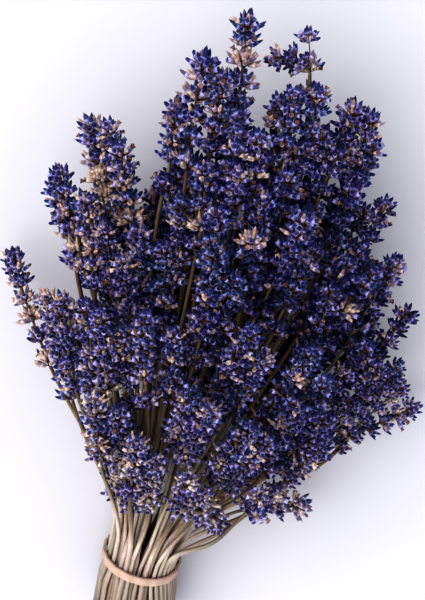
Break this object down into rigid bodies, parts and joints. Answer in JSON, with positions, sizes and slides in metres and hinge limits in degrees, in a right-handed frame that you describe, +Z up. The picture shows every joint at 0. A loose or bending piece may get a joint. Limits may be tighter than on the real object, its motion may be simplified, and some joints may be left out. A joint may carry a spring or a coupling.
{
  "type": "bunch of dried lavender",
  "caption": "Dried lavender bunch lying down: a fan of blue-violet flower spikes on square straw-coloured stems that an elastic band gathers above their cut ends.",
  "frame": {"origin": "on the surface that the bunch lies on, under the middle of its box", "axes": "+Z up from the surface; +Y from the cut ends to the flower spikes, along the bunch; +X to the right seen from above with the spikes pointing away"},
  "size_m": [0.219, 0.3264, 0.1177],
  "materials": {
    "stem": "matt dry grey-tan straw, ridged lengthwise, greener between the whorls",
    "flower": "matt finely downy dried buds, grey-violet at the base and deep blue-violet at the tip",
    "elastic": "satin flesh-tan rubber"
  },
  "bodies": {
    "root": {"stems": "stem", "elastic_band": "elastic", "spike_collar_left": "flower", "spike_crown": "flower", "spike_crown_left": "flower", "spike_crown_right": "flower", "spike_crown_sprig": "flower", "spike_crown_twig": "flower", "spike_flank_left": "flower", "spike_flank_low": "flower", "spike_flank_right": "flower", "spike_pair_01": "flower", "spike_pair_02": "flower", "spike_pair_03": "flower", "spike_pair_04": "flower", "spike_pair_05": "flower", "spike_pair_06": "flower", "spike_pair_07": "flower", "spike_pair_08": "flower", "spike_pair_09": "flower", "spike_pair_10": "flower", "spike_pair_11": "flower", "spike_pair_12": "flower", "spike_pair_13": "flower", "spike_pair_14": "flower", "spike_pair_15": "flower", "spike_pair_16": "flower", "spike_pair_17": "flower", "spike_pair_18": "flower", "spike_pair_19": "flower", "spike_pair_20": "flower", "spike_pair_21": "flower", "spike_pair_22": "flower", "spike_pair_23": "flower", "spike_pair_24": "flower", "spike_pair_25": "flower", "spike_pair_26": "flower", "spike_pair_27": "flower", "spike_pair_28": "flower", "spike_pair_29": "flower", "spike_pair_30": "flower", "spike_pair_31": "flower", "spike_pair_32": "flower", "spike_pair_33": "flower", "spike_pair_34": "flower", "spike_pair_35": "flower", "spike_pair_36": "flower", "spike_pair_37": "flower", "spike_pair_38": "flower", "spike_pair_39": "flower", "spike_shoulder_left": "flower", "spike_shoulder_left_low": "flower", "spike_shoulder_low": "flower", "spike_shoulder_right": "flower", "spike_shoulder_right_low": "flower", "spike_side_left": "flower", "spike_side_right": "flower", "spike_stray_left": "flower", "spike_stray_low": "flower", "spike_stray_right": "flower"}
  },
  "joints": []
}
